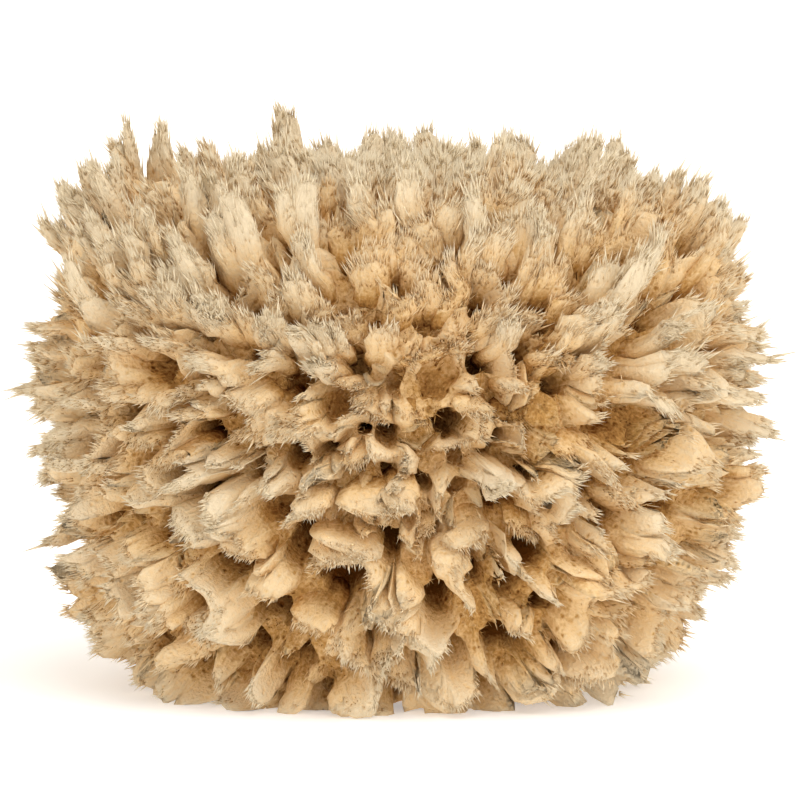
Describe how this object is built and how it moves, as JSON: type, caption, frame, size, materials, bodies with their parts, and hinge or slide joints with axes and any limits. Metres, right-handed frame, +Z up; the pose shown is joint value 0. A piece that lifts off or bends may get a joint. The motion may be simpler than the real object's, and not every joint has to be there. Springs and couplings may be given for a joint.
{
  "type": "sea sponge",
  "caption": "Natural wool-type bath sponge: one rounded grown body with open channels and ragged fibrous tufts all over, cut flat underneath to rest on.",
  "frame": {"origin": "on the flat cut base, straight below the point that the growth runs out from", "axes": "+Z up, +X along the longest side, -Y towards the side seen in the picture"},
  "size_m": [0.1462, 0.1279, 0.1075],
  "materials": {
    "sponge_fibre": "matt, fibrous, pale straw at the tuft tips and brown in the channels"
  },
  "bodies": {
    "root": {"sponge": "sponge_fibre"}
  },
  "joints": []
}
